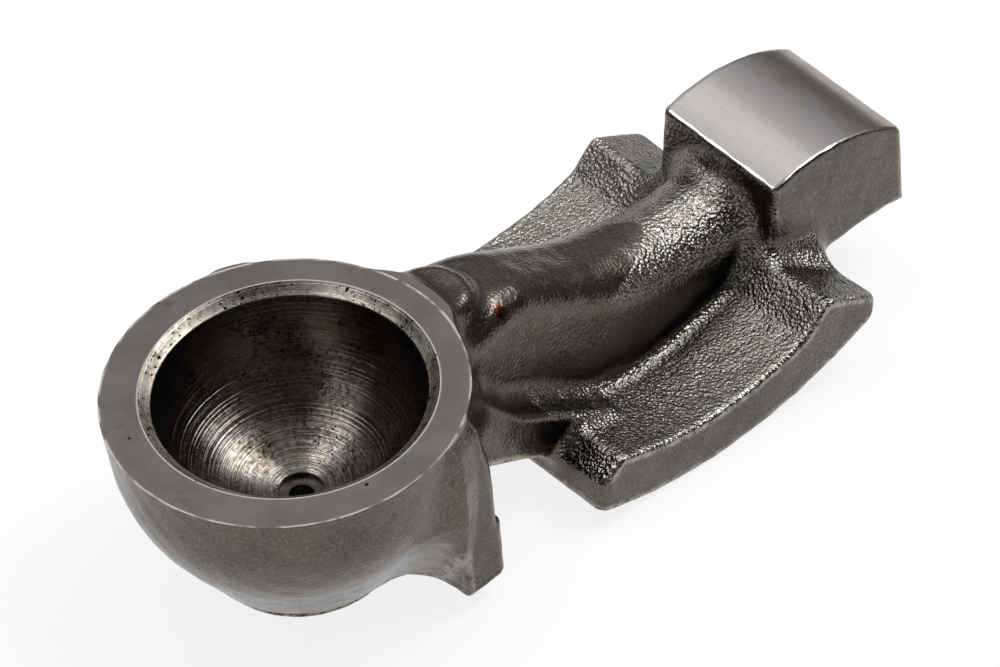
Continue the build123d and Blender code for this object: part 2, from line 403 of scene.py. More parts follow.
@dataclass(frozen=True)
class Spine:
    """Rounded rib along the top of the arm.

    Corners of its underside are (x, z, rounding) and follow those of the web.
    """

    half_width: float = 4.9
    cup_half_width: float = 6.6
    flare_start: float = 11.0
    flare_end: float = 21.0
    flare_radius: float = 14.0
    draft: float = 5.0
    top_cup: float = -1.15
    top_pad: float = -8.3
    knee_x: float = 18.8
    low_x: float = 31.6
    knee_rounding: float = 12.0
    low_rounding: float = 26.0
    edge_cup: float = 2.2
    edge_pad: float = 4.2
    neck_start: float = 32.0
    neck_end: float = 39.0
    neck_half_width: float = 4.6
    neck_rounding: float = 20.0
    edge_from: float = 20.0
    edge_to: float = 36.0
    end_x: float = 46.5
    floor_z: float = -15.8
    underside: tuple[tuple[float, float, float], ...] = (
        (23.4, -17.3, 0), (18.2, -15.1, 0), (14.5, -12.5, 6.0), (11.7, -11.0, 0), (0, -10.0, 0)
    )

    def distance(self, x: Array, y: Array, z: Array) -> Array:
        """The side outline and the drafted plan share the rib, rounded along the top.

        Args:
            x, y, z: coordinates of the points, in millimetres.

        Returns:
            Signed distances, negative inside.
        """
        side = outline(
            [
                (0, self.top_cup, 0),
                (self.knee_x, self.top_cup, self.knee_rounding),
                (self.low_x, self.top_pad, self.low_rounding),
                (self.end_x, self.top_pad, 0),
                (self.end_x, self.floor_z - 1.5, 0),
                *self.underside,
            ],
            steps=12,
        )
        plan = outline(
            [
                (-3, 10, 0),
                (-3, -self.cup_half_width, 0),
                (self.flare_start, -self.cup_half_width, self.flare_radius),
                (self.flare_end, -self.half_width, self.flare_radius),
                (self.neck_start, -self.half_width, self.neck_rounding),
                (self.neck_end, -self.neck_half_width, self.neck_rounding),
                (self.end_x, -self.neck_half_width, 0),
                (self.end_x, 10, 0),
            ]
        )
        lean = np.radians(self.draft)
        flank = inside_outline(x, -np.abs(y), plan)
        flank = (flank + (z - self.floor_z) * np.tan(lean)) * np.cos(lean)
        toward_pad = np.clip((x - self.edge_from) / (self.edge_to - self.edge_from), 0, 1)
        edge = self.edge_cup + (self.edge_pad - self.edge_cup) * toward_pad
        return trim(inside_outline(x, z, side), flank, edge)


@dataclass(frozen=True)
class Hump:
    """Tongue of the spine that stands up beside the rim."""

    length: float = 17.0
    half_width: float = 3.2
    top: float = 0.2
    edge: float = 1.0
    draft: float = 5.0
    root: float = -8.0
    start: float = 5.0

    def distance(self, x: Array, y: Array, z: Array) -> Array:
        """A capsule in plan, drafted outwards on the way down and rounded along the top.

        Args:
            x, y, z: coordinates of the points, in millimetres.

        Returns:
            Signed distances, negative inside.
        """
        shoulder = self.length - self.half_width
        plan = np.hypot(np.maximum(x - shoulder, 0), y) - self.half_width
        lean = np.radians(self.draft)
        side = (plan + (z - self.top) * np.tan(lean)) * np.cos(lean)
        ends = np.maximum(self.root - z, self.start - x)
        return np.maximum(trim(side, z - self.top, self.edge), ends)


@dataclass(frozen=True)
class ValvePad:
    """Block at the end of the arm with a ground crown that rubs on the valve stem."""

    crown_radius: float = 15.5
    crown_x: float = 46.7
    crown_z: float = -5.93
    half_width: float = 5.95
    front: float = 43.4
    front_rake: float = 9.0
    rear: float = 56.5
    depth: float = 17.55
    arch: float = 1.0
    bottom_start: float = 45.0
    edge: float = 0.5
    ground_lean: float = 0.07
    rear_edge: float = 0.35
    low_edge: float = 0.3
    above: float = 3.0
    arch_points: int = 9
    ground_ahead: float = 2.5
    clear: float = -9.0

    def forged(self, x: Array, y: Array, z: Array) -> Array:
        """The block before grinding: a side outline carried across, arched underneath.

        Args:
            x, y, z: coordinates of the points, in millimetres.

        Returns:
            Signed distances, negative inside.
        """
        foot = self.front - (self.depth + self.crown_z) * np.tan(np.radians(self.front_rake))
        half = (self.rear - self.bottom_start) / 2
        middle = (self.rear + self.bottom_start) / 2
        span = np.linspace(0, np.pi, self.arch_points)[1:-1]
        height = -self.depth + self.arch * np.sin(span)
        arch = np.column_stack([middle - half * np.cos(span), height, 0 * span])
        top = self.crown_z + self.above
        side = outline(
            [
                (self.rear, -self.depth, self.low_edge),
                (self.rear, top, 0),
                (self.front, top, 0),
                (foot, -self.depth, 0),
                (self.bottom_start, -self.depth, 0),
                *arch.tolist(),
            ],
            steps=4,
        )
        return trim(inside_outline(x, z, side), np.abs(y) - self.half_width, self.edge)

    def ground(self, x: Array, y: Array, z: Array) -> Array:
        """What the grinding takes away: all outside a circle round an axis across the arm.

        The axis leans a little, so that the far side is ground higher.

        Args:
            x, y, z: coordinates of the points, in millimetres.

        Returns:
            Signed distances, positive in what is cut away.
        """
        axis_z = self.crown_z - self.crown_radius + self.ground_lean * y
        high = np.hypot(x - self.crown_x, z - axis_z) - self.crown_radius
        high = trim(high, x - self.rear, self.rear_edge)
        return np.where(x > self.front - self.ground_ahead, high, self.clear)


@dataclass(frozen=True)
class Fillets:
    """Radii that the dies leave in the hollows between one form and the next.

    The fall and the turns are the lengths over which a radius changes to the next.
    """

    lug_front: float = 1.7
    lug_back: float = 0.8
    lug_foot: float = 4.7
    lug_fall: float = 8.0
    lug_turn: float = 2.5
    web: float = 1.5
    spine_cup: float = 2.2
    spine_plate: float = 1.5
    hump: float = 1.1
    pad_spine: float = 2.0
    pad_plate: float = 3.6
    pad_turn: float = 3.0


@dataclass(frozen=True)
class Socket:
    """Ball socket, its lead-in and the oil hole through its bottom."""

    ball_radius: float = 10.0
    rim_height: float = 0.7
    chamfer: float = 0.85
    hole_radius: float = 0.95
    mark_radius: float = 1.7
    mark_depth: float = 0.35

    def ball(self, x: Array, y: Array, z: Array) -> Array:
        """Ball seat: a sphere round the origin.

        Args:
            x, y, z: coordinates of the points, in millimetres.

        Returns:
            Signed distances, positive in what is cut away.
        """
        return self.ball_radius - np.sqrt(x * x + y * y + z * z)

    def lead_in(self, x: Array, y: Array, z: Array) -> Array:
        """Chamfered mouth: a cone that opens from the sphere's equator to the rim.

        Args:
            x, y, z: coordinates of the points, in millimetres.

        Returns:
            Signed distances, positive in what is cut away.
        """
        slope = np.arctan2(self.chamfer, self.rim_height)
        r = np.hypot(x, y)
        cone = self.ball_radius + z * np.tan(slope) - r
        return np.minimum(cone * np.cos(slope), z)

    def mark(self, x: Array, y: Array, z: Array) -> Array:
        """Recess of the centre drill: a short cylinder at the bottom of the seat.

        Args:
            x, y, z: coordinates of the points, in millimetres.

        Returns:
            Signed distances, positive in what is cut away.
        """
        r = np.hypot(x, y)
        return np.minimum(self.mark_radius - r, np.minimum(z + self.ball_radius + self.mark_depth, -z))

    def hole(self, x: Array, y: Array, z: Array) -> Array:
        """Oil hole: a cylinder from the equator down through the foot.

        Args:
            x, y, z: coordinates of the points, in millimetres.

        Returns:
            Signed distances, positive in what is cut away.
        """
        return np.minimum(self.hole_radius - np.hypot(x, y), -z)


@dataclass(frozen=True)
class Arm:
    """The whole solid: forged forms welded together, then the machined cuts."""

    cup: Cup = Cup()
    lugs: Lugs = Lugs()
    plate: CamPlate = CamPlate()
    web: Web = Web()
    spine: Spine = Spine()
    hump: Hump = Hump()
    pad: ValvePad = ValvePad()
    fillets: Fillets = Fillets()
    socket: Socket = Socket()
    sideways: float = 0.05
    crown_edge: float = 0.3
    ripple: float = 0.006
    ripple_ways: tuple[tuple[float, float, float], ...] = (
        (2.1, 1.3, 0.7), (-1.6, 2.2, 1.1), (0.9, -1.9, 2.3), (2.9, 0.6, -1.4),
        (-0.8, -2.6, 1.9), (1.4, 3.0, 2.2), (3.4, -1.5, 0.8),
    )
    ripple_phases: tuple[float, ...] = (0.3, 1.9, 4.1, 2.7, 5.6, 0.9, 3.3)

    def forged(self, x: Array, y: Array, z: Array) -> Array:
        """All forged forms, welded from the plate towards the bowl.

        The fillet in front of the lugs grows towards the foot; behind them it is small.
        What that fillet would add below the foot is taken off again.

        Args:
            x, y, z: coordinates of the points, in millimetres.

        Returns:
            Signed distances, negative inside.
        """
        f = self.fillets
        low = np.clip((self.cup.rim_height - z) / f.lug_fall, 0, 1)
        in_front = f.lug_front + (f.lug_foot - f.lug_front) * low
        lug = in_front + (f.lug_back - in_front) * np.clip((x - self.lugs.front) / f.lug_turn, 0, 1)
        lugs = self.lugs.distance(x, y, z)
        bowl = weld(self.cup.distance(x, y, z), lugs, lug)
        bowl = np.maximum(bowl, np.minimum(lugs, -self.cup.foot_depth - z))
        y = y - self.sideways
        base = weld(self.plate.distance(x, y, z), self.web.distance(x, y, z), f.web)
        rib = weld(self.spine.distance(x, y, z), self.hump.distance(x, y, z), f.hump)
        base = weld(base, rib, f.spine_plate)
        pad = f.pad_spine + (f.pad_plate - f.pad_spine) * np.clip((x - self.pad.front) / f.pad_turn, 0, 1)
        arm = weld(base, self.pad.forged(x, y, z), pad)
        return weld(arm, bowl, f.spine_cup)

    def cuts(self, x: Array, y: Array, z: Array) -> list[Array]:
        """The machined cuts: rim, lead-in, ball seat, recess, oil hole and crown.

        Args:
            x, y, z: coordinates of the points, in millimetres.

        Returns:
            Signed distances of each cut, positive in what is cut away.
        """
        s = self.socket
        return [
            z - s.rim_height + 0 * (x + y),
            s.lead_in(x, y, z),
            s.ball(x, y, z),
            s.mark(x, y, z),
            s.hole(x, y, z),
            self.pad.ground(x, y, z),
        ]

    def skin(self, x: Array, y: Array, z: Array) -> Array:
        """The forged forms with the slight waviness that the dies and the scale leave.

        The waves are sines that run in different directions, none in step with another.

        Args:
            x, y, z: coordinates of the points, in millimetres.

        Returns:
            Signed distances, negative inside.
        """
        wave = 0.0
        for (a, b, c), phase in zip(self.ripple_ways, self.ripple_phases):
            wave = wave + np.sin(a * x + b * y + c * z + phase)
        return self.forged(x, y, z) + self.ripple * wave

    def field(self, x: Array, y: Array, z: Array) -> Array:
        """The finished solid: the crown is ground with a soft edge, the other cuts are sharp.

        Args:
            x, y, z: coordinates of the points, in millimetres.

        Returns:
            Signed distances, negative inside.
        """
        *turned, crown = self.cuts(x, y, z)
        d = trim(self.skin(x, y, z), crown, self.crown_edge)
        for c in turned:
            d = np.maximum(d, c)
        return d



# ------------------------------------------------------- from field to surface
def slope(shape: Field, points: Array, reach: float = 2e-3) -> Array:
    """Direction in which a field rises fastest: the difference of two readings along each axis.

    Args:
        shape: the field.
        points: (n, 3) points.
        reach: how far each reading is taken from the point.

    Returns:
        (n, 3) unit directions.
    """
    shifts = np.eye(3) * reach
    rise = np.column_stack([shape(*(points + s).T) - shape(*(points - s).T) for s in shifts])
    return rise / np.maximum(np.linalg.norm(rise, axis=1, keepdims=True), 1e-12)


def crossings(shape: Field, grid: Array, origin: Array, step: float) -> tuple[Array, Array, Array, Array]:
    """Find where the edges of a grid cross a surface.

    Each crossing is closed in on by readings at the place where a straight line
    between the last two would be nought, one inside and one outside.

    Args:
        shape: field of the solid, negative inside.
        grid: its readings at the corners of the cubes.
        origin: lowest corner of the grid.
        step: side of a cube.

    Returns:
        Lower end of each crossed edge in steps, its direction, the point on the
        surface, and whether the edge leads outwards.
    """
    solid = grid < 0
    crossed = [np.argwhere(np.diff(solid, axis=k)) for k in range(3)]
    start = np.vstack(crossed)
    along = np.eye(3, dtype=int)[np.repeat(range(3), [len(c) for c in crossed])]
    near, far = origin + start * step, origin + (start + along) * step
    at_near, at_far = grid[tuple(start.T)], grid[tuple((start + along).T)]
    outward = at_near < 0
    for _ in range(READINGS):
        share = np.clip(at_near / (at_near - at_far), END_SHARE, 1 - END_SHARE)[:, None]
        middle = near + (far - near) * share
        reading = shape(*middle.T)
        same = (reading < 0) == outward
        near, at_near = np.where(same[:, None], middle, near), np.where(same, reading, at_near)
        far, at_far = np.where(same[:, None], far, middle), np.where(same, at_far, reading)
    hit = near + (far - near) * (at_near / (at_near - at_far))[:, None]
    return start, along, hit, outward


def settle(cube: Array, hits: Array, normals: Array) -> Array:
    """Find the spot in each cube that is nearest to the tangent planes of its points.

    The squares of the distances to the planes add up to a bowl, whose lowest spot is
    sought from the mean of the points. Ways in which the bowl is nearly flat, as along
    an edge, are left out, so the spot doesn't slide off along them.

    Args:
        cube: number of the cube that each point belongs to.
        hits: (n, 3) points on the surface.
        normals: (n, 3) directions of the surface there.

    Returns:
        One spot for each cube.
    """
    count = cube.max() + 1
    share = np.bincount(cube, minlength=count)[:, None]
    middle = np.column_stack([np.bincount(cube, hits[:, k], count) for k in range(3)]) / share
    gap = (normals * (hits - middle[cube])).sum(1)
    pull = np.column_stack([np.bincount(cube, normals[:, k] * gap, count) for k in range(3)])
    pairs = [normals[:, i] * normals[:, k] for i in range(3) for k in range(3)]
    spread = np.stack([np.bincount(cube, pair, count) for pair in pairs], axis=1).reshape(-1, 3, 3)
    weight, axis = np.linalg.eigh(spread)
    kept = weight > FLAT_SHARE * weight[:, -1:]
    inverse = np.where(kept, 1 / np.where(kept, weight, 1), 0)
    return middle + np.einsum("nij,nj,nkj,nk->ni", axis, inverse, axis, pull)


def contour(shape: Field, low: Array, high: Array, step: float) -> tuple[Array, Array]:
    """Mesh the surface where a field is nought, with its sharp edges kept.

    The field is read at the corners of a grid of cubes. Each grid edge that crosses
    the surface gives a point on it and the surface's direction there. Each cube that
    holds such points gets one vertex, at the spot nearest to all of their tangent
    planes, so it falls on an edge or a corner of the solid where there is one. The
    four cubes round a crossed edge make one face.

    Args:
        shape: field of the solid, negative inside.
        low: lowest corner of the grid.
        high: highest corner of the grid.
        step: side of a cube.

    Returns:
        The vertices and the four corners of each face, wound so that it faces outwards.
    """
    axes = [np.arange(a, b + step, step) for a, b in zip(low, high)]
    grid = shape(axes[0][:, None, None], axes[1][None, :, None], axes[2][None, None, :])
    origin = np.array([a[0] for a in axes])
    start, along, hit, outward = crossings(shape, grid, origin, step)
    side, other = np.roll(along, 1, axis=1), np.roll(along, 2, axis=1)
    around = np.stack([start, start - side, start - side - other, start - other], axis=1)
    numbers = np.ravel_multi_index(tuple(around.reshape(-1, 3).T), grid.shape)
    used, cube = np.unique(numbers, return_inverse=True)
    cube = cube.reshape(-1)
    spots = settle(cube, np.repeat(hit, 4, axis=0), np.repeat(slope(shape, hit), 4, axis=0))
    corner = origin + np.column_stack(np.unravel_index(used, grid.shape)) * step
    spots = np.clip(spots, corner - STRAY * step, corner + (1 + STRAY) * step)
    faces = cube.reshape(-1, 4)
    return spots, np.where(outward[:, None], faces, faces[:, ::-1])


# ------------------------------------------------------------------- finishes
class Region(Enum):
    """Surfaces of the arm, each with a finish of its own. The value is its material slot."""

    SKIN = 0
    RIM = 1
    LEAD_IN = 2
    SEAT = 3
    HOLE = 4
    CROWN = 5
    CAM_FACE = 6
    FOOT = 7


def linear(code: str) -> tuple[float, float, float, float]:
    """Turn an sRGB hex colour to the linear colour that a shader takes.

    Args:
        code: the colour, such as #5f5a55.

    Returns:
        Linear red, green, blue and an alpha of 1.
    """
    parts = [int(code[i : i + 2], 16) / 255 for i in (1, 3, 5)]
    flat = [p / 12.92 if p <= 0.04045 else ((p + 0.055) / 1.055) ** 2.4 for p in parts]
    return (*flat, 1.0)


def add(
    tree: bpy.types.NodeTree, kind: str, settings: dict | None = None, **inputs: object
) -> bpy.types.Node:
    """Add a node to a tree, with its settings, values and links.

    Args:
        tree: node tree of a material or a world.
        kind: the node's type, without the leading ShaderNode.
        settings: properties of the node itself.
        inputs: value or output socket of each input, by its name with _ for a space;
            a name such as i0 stands for the input of that number.

    Returns:
        The new node.
    """
    node = tree.nodes.new("ShaderNode" + kind)
    for name, value in (settings or {}).items():
        setattr(node, name, value)
    for name, value in inputs.items():
        numbered = name[0] == "i" and name[1:].isdigit()
        socket = node.inputs[int(name[1:])] if numbered else node.inputs[name.replace("_", " ")]
        if isinstance(value, bpy.types.NodeSocket):
            tree.links.new(value, socket)
        else:
            socket.default_value = value
    return node


@dataclass
class Recipe:
    """A material being put together, with short ways to read places and mix values."""

    name: str
    material: bpy.types.Material = field(init=False)
    tree: bpy.types.NodeTree = field(init=False)

    def __post_init__(self) -> None:
        """Start with an empty node tree."""
        self.material = bpy.data.materials.new(self.name)
        self.material.use_nodes = True
        self.tree = self.material.node_tree
        self.tree.nodes.clear()

    def place(self) -> bpy.types.NodeSocket:
        """Read the position on the piece.

        Returns:
            The position in metres, in the machining frame of the arm.
        """
        here = add(self.tree, "TexCoord").outputs["Object"]
        turn = {"rotation_type": "Y_AXIS"}
        return add(self.tree, "VectorRotate", turn, Vector=here, Angle=REST_TILT).outputs[0]

    def mark(self, name: str) -> bpy.types.NodeSocket:
        """Read one of the piece's own surface values.

        Args:
            name: name of the mesh attribute.

        Returns:
            The value, 0 to 1.
        """
        return add(self.tree, "Attribute", {"attribute_name": name}).outputs["Fac"]

    def sum(self, *terms: tuple[object, float]) -> bpy.types.NodeSocket:
        """Add up values, each times its own weight.

        Args:
            terms: pairs of a value and its weight.

        Returns:
            The sum.
        """
        total: object = 0.0
        step = {"operation": "MULTIPLY_ADD"}
        for value, weight in terms:
            total = add(self.tree, "Math", step, i0=value, i1=weight, i2=total).outputs[0]
        return total

    def times(self, a: object, b: object) -> bpy.types.NodeSocket:
        """Multiply two values.

        Args:
            a: first value.
            b: second value.

        Returns:
            Their product.
        """
        return add(self.tree, "Math", {"operation": "MULTIPLY"}, i0=a, i1=b).outputs[0]

    def between(
        self, value: object, low: float, high: float, at_low: float = 0.0, at_high: float = 1.0
    ) -> bpy.types.NodeSocket:
        """Ease from one level to another as a value goes from low to high.

        Args:
            value: the value.
            low: where the change starts.
            high: where it ends.
            at_low: result up to low.
            at_high: result from high on.

        Returns:
            The eased result.
        """
        ease = {"interpolation_type": "SMOOTHSTEP"}
        span = {"From_Min": low, "From_Max": high, "To_Min": at_low, "To_Max": at_high}
        return add(self.tree, "MapRange", ease, Value=value, **span).outputs[0]

    def noise(self, where: object, size: float, detail: float = 2.0) -> bpy.types.NodeSocket:
        """Make a cloudy value.

        Args:
            where: position in metres.
            size: size of its features in millimetres.
            detail: how many finer layers lie on top.

        Returns:
            The value, mostly from 0.3 to 0.7.
        """
        look = {"Scale": PER_METRE / size, "Detail": detail, "Roughness": 0.55}
        return add(self.tree, "TexNoise", None, Vector=where, **look).outputs[0]

    def bands(
        self, along: object, size: float, detail: float, roughness: float = 0.5
    ) -> bpy.types.NodeSocket:
        """Make an uneven value that changes along one way only, such as turning rings.

        Args:
            along: the way in metres.
            size: width of a band in millimetres.
            detail: how many finer layers lie on top.
            roughness: how strong those layers are.

        Returns:
            The value, mostly from 0.3 to 0.7.
        """
        way = self.times(along, PER_METRE / size)
        flat = {"noise_dimensions": "1D"}
        return add(self.tree, "TexNoise", flat, W=way, Detail=detail, Roughness=roughness).outputs[0]

    def vector(self, operation: str, *taken: object) -> bpy.types.Node:
        """Add a vector calculation.

        Args:
            operation: its kind.
            taken: the vectors it takes, in order.

        Returns:
            The node, with its outputs Vector and Value.
        """
        inputs = {f"i{index}": value for index, value in enumerate(taken)}
        return add(self.tree, "VectorMath", {"operation": operation}, **inputs)

    def blend(self, share: object, first: object, second: object) -> bpy.types.NodeSocket:
        """Mix two colours.

        Args:
            share: how much of the second, 0 to 1.
            first: first colour.
            second: second colour.

        Returns:
            The mixed colour.
        """
        node = add(self.tree, "Mix", {"data_type": "RGBA"}, i0=share, i6=first, i7=second)
        return node.outputs[2]

    def metal(
        self, colour: object, roughness: object, relief: object, depth: object
    ) -> bpy.types.Material:
        """Close the material as bare metal.

        Args:
            colour: its base colour.
            roughness: its roughness.
            relief: fine relief, 0 to 1.
            depth: height of that relief in metres.

        Returns:
            The finished material.
        """
        bump = add(self.tree, "Bump", None, Strength=1.0, Distance=depth, Height=relief).outputs[0]
        look = {"Base_Color": colour, "Metallic": 1.0, "Roughness": roughness, "Normal": bump}
        shader = add(self.tree, "BsdfPrincipled", None, **look)
        add(self.tree, "OutputMaterial", None, Surface=shader.outputs[0])
        return self.material


@dataclass(frozen=True)
class ForgedSkin:
    """Drop-forged, shot-blasted and oiled steel: dark, peened, each dimple a small mirror.

    The shot leaves dimples about 0.3 mm wide. They are drawn at that size, deepest in
    the trays and the hollows, and give the eye a sparkle there on an even dark skin.
    Painted glints on the dimple crests and a painted sheen, a lighter tone where the
    shot is strong, add to that sparkle. Oil stain and painted shade darken the hollows,
    and painted shade the deep hollows.
    """

    name: str = "steel, drop forged and shot blasted"
    colour: str = "#5f5852"
    shade: str = "#544e48"
    # pale colour of worn specks and worn edges; on the edges it is also a painted highlight
    worn_and_highlight: str = "#a8a098"
    # lighter tone where the shot is strong: partly the blasted finish, partly a painted sheen on the trays
    blasted: str = "#86817b"
    # painted glints on the dimple crests
    glint: str = "#cdcac6"
    # dark specks, and oil stain with painted shade in the hollows
    stain: str = "#33281a"
    # near-black painted shade in the deep hollows; it also darkens the lower foot
    painted_shade: str = "#1f1a15"
    rust: str = "#4a2010"
    cloud: float = 5.0
    speck: float = 0.5
    dark_speck: float = 0.22
    pale_speck: float = 0.3
    peen: float = 0.27
    peen_bend: float = 0.6
    peen_sway: float = 0.2
    grain: float = 0.13
    patch: float = 1.2
    roughness: float = 0.26
    quiet: float = 0.016
    loud: float = 0.085
    rust_spot: tuple[float, float, float] = (17.17, -3.66, -1.93)
    rust_inner: float = 1.0
    rust_outer: float = 1.5
    rust_fray: float = 1.4

    def material(self) -> bpy.types.Material:
        """Dimples and grain as relief, painted glints and sheen, oil stain and painted shade in the hollows,
        painted shade in the deep ones, one rust spot, worn edges with a painted highlight.

        Returns:
            The material.
        """
        r = Recipe(self.name)
        where = r.place()
        shot, hollow, edge = r.mark("shot"), r.mark("hollow"), r.mark("edge")
        sway = add(r.tree, "TexNoise", None, Vector=where, Scale=PER_METRE / self.peen_bend, Detail=1.0)
        bent = r.vector("MULTIPLY_ADD", sway.outputs["Color"], (self.peen_sway * MM,) * 3, where).outputs[0]
        cells = {"Scale": PER_METRE / self.peen, "Smoothness": 0.35}
        dimple = add(r.tree, "TexVoronoi", {"feature": "SMOOTH_F1"}, Vector=bent, **cells).outputs["Distance"]
        relief = r.sum((dimple, 1.0), (r.noise(where, self.grain), 0.5))
        depth = r.between(shot, 0.0, 1.0, self.quiet * MM, self.loud * MM)
        cloud = r.noise(where, self.cloud, 3.0)
        speck = r.noise(where, self.speck)
        colour = r.blend(r.between(cloud, 0.35, 0.7), linear(self.colour), linear(self.shade))
        dark = r.between(r.noise(where, self.dark_speck), 0.52, 0.75, 0.0, 0.5)
        colour = r.blend(dark, colour, linear(self.stain))
        pale = r.between(r.noise(where, self.pale_speck), 0.45, 0.8, 0.0, 0.2)
        colour = r.blend(pale, colour, linear(self.worn_and_highlight))
        crest = r.between(r.sum((dimple, 1.0), (speck, 0.35)), 0.2, 0.6, 1.0, 0.0)
        # lighter tone where the shot is strong: partly the blasted finish, partly a painted sheen on the
        # up-facing tray floors
        colour = r.blend(r.between(shot, 0.4, 0.95, 0.0, 0.7), colour, linear(self.blasted))
        # painted glints: the crests of the dimples turned pale, more so where the shot is strong
        colour = r.blend(r.times(crest, r.between(shot, 0.25, 0.9, 0.0, 0.5)), colour, linear(self.glint))
        # oil stain and painted shade: the stain colour darkens the hollows, where shade falls, and the bottom
        # of the foot
        oil_stain_and_shade = r.between(r.sum((cloud, 0.45), (speck, 0.2), (hollow, 0.9)), 0.6, 1.1)
        colour = r.blend(r.times(oil_stain_and_shade, 0.8), colour, linear(self.stain))
        # painted shade: near-black in the deep hollows, and darker towards the lower foot
        colour = r.blend(r.times(r.mark("deep"), 0.8), colour, linear(self.painted_shade))
        # worn edges lightened: partly real wear, partly a painted highlight along every convex edge
        colour = r.blend(r.times(edge, r.between(speck, 0.3, 0.6)), colour, linear(self.worn_and_highlight))
        spot = r.vector("DISTANCE", where, tuple(c * MM for c in self.rust_spot)).outputs["Value"]
        frayed = r.sum((spot, 1.0), (speck, self.rust_fray * MM))
        rusty = r.between(frayed, self.rust_inner * MM, self.rust_outer * MM, 1.0, 0.0)
        colour = r.blend(rusty, colour, linear(self.rust))
        rough = r.sum((r.noise(where, self.patch, 3.0), 0.14), (shot, -0.1), (self.roughness - 0.05, 1.0))
        return r.metal(colour, rough, relief, depth)


@dataclass(frozen=True)
class MilledRim:
    """Face-milled steel: an even fine matt grain, with painted highlights as bright rings along both edges.

    The tool arcs are drawn every 0.14 mm, coarser than the real feed, so that they show.
    """

    name: str = "steel, face milled"
    colour: str = "#6e6866"
    shade: str = "#645e5b"
    bright: str = "#c9c4be"
    stain: str = "#4b3c2a"
    pit: str = "#1d1815"
    cloud: float = 3.5
    stain_size: float = 2.6
    gap_size: float = 1.6
    pit_gap: float = 2.4
    pit_spread: float = 4.0
    line: float = 0.14
    grain: float = 0.2
    depth: float = 0.012
    roughness: float = 0.42
    inner: float = 10.85
    outer: float = 13.4
    outer_x: float = -0.4

    def material(self) -> bpy.types.Material:
        """Grain, faint tool arcs, a few dark pits, painted highlights along both edges.

        Returns:
            The material.
        """
        r = Recipe(self.name)
        where = r.place()
        flat = r.vector("MULTIPLY", where, (1, 1, 0)).outputs[0]
        radius = r.vector("LENGTH", flat).outputs["Value"]
        moved = r.vector("SUBTRACT", flat, (self.outer_x * MM, 0, 0)).outputs[0]
        reach = r.vector("LENGTH", moved).outputs["Value"]
        cloud = r.noise(where, self.cloud, 3.0)
        colour = r.blend(r.between(cloud, 0.35, 0.7), linear(self.colour), linear(self.shade))
        stained = r.times(r.between(r.noise(where, self.stain_size), 0.62, 0.78), 0.5)
        colour = r.blend(stained, colour, linear(self.stain))
        # painted highlights: a bright ring along the inner edge and a broken one along the outer edge
        inner_edge_highlight = r.between(radius, (self.inner + 0.02) * MM, (self.inner + 0.16) * MM, 1.0, 0.0)
        outer_edge_highlight = r.times(
            r.between(reach, (self.outer - 0.22) * MM, (self.outer - 0.06) * MM),
            r.between(reach, (self.outer + 0.02) * MM, (self.outer + 0.08) * MM, 1.0, 0.0),
        )
        broken = r.times(outer_edge_highlight, r.between(r.noise(where, self.gap_size), 0.35, 0.55))
        colour = r.blend(r.sum((inner_edge_highlight, 0.8), (broken, 0.75)), colour, linear(self.bright))
        cells = {"Scale": PER_METRE / self.pit_gap, "Randomness": 1.0}
        near = add(r.tree, "TexVoronoi", None, Vector=where, **cells).outputs["Distance"]
        uneven = r.sum((near, 1.0), (r.noise(where, self.pit_spread), 0.16))
        colour = r.blend(r.between(uneven, 0.12, 0.15, 1.0, 0.0), colour, linear(self.pit))
        relief = r.sum((r.noise(where, self.grain), 1.0), (r.bands(radius, self.line, 2.0), 0.35))
        return r.metal(colour, self.roughness, relief, self.depth * MM)


@dataclass(frozen=True)
class TurnedSteel:
    """Steel turned with a form tool: rings round the socket's axis, pits, oil-black between them.

    The rings are drawn 0.2 to 0.34 mm apart, two to three times as coarse as the real
    feed marks, so that they catch the light as bright arcs.
    """

    name: str
    colour: str
    dark: str
    roughness: float = 0.3
    pitch: float = 0.26
    ring_depth: float = 0.012
    pit_size: float = 0.2
    pit_share: float = 0.66
    pit: str = "#15100b"
    wall_radius: float = 10.0
    cloud: float = 3.2
    fine: float = 0.35

    def material(self) -> bpy.types.Material:
        """Rings by the angle down from the rim, pits where a fine noise is high, stain by a cloud.

        Returns:
            The material.
        """
        r = Recipe(self.name)
        where = r.place()
        radius = r.vector("LENGTH", r.vector("MULTIPLY", where, (1, 1, 0)).outputs[0]).outputs["Value"]
        height = add(r.tree, "SeparateXYZ", None, Vector=where).outputs["Z"]
        turn = {"operation": "ARCTAN2"}
        down = add(r.tree, "Math", turn, i0=radius, i1=r.times(height, -1.0)).outputs[0]
        way = r.times(down, self.wall_radius * MM)
        rings = r.bands(way, self.pitch, 1.0, 0.6)
        coarse = r.bands(way, 4 * self.pitch, 1.0)
        eaten = r.sum((r.noise(where, self.pit_size, 1.0), 1.0), (r.noise(where, 3.0), 0.35), (-0.175, 1.0))
        pits = r.between(eaten, self.pit_share, self.pit_share + 0.05)
        cloud = r.noise(where, self.cloud, 4.0)
        fine = r.noise(where, self.fine)
        stained = r.between(r.sum((cloud, 0.5), (fine, 0.35), (rings, 0.4)), 0.45, 0.85)
        colour = r.blend(stained, linear(self.colour), linear(self.dark))
        colour = r.blend(pits, colour, linear(self.pit))
        relief = r.sum((rings, 1.0), (coarse, 1.6), (fine, 0.15), (pits, -0.6))
        rough = r.sum((fine, 0.12), (cloud, 0.08), (self.roughness - 0.12, 1.0))
        return r.metal(colour, rough, relief, self.ring_depth * MM)


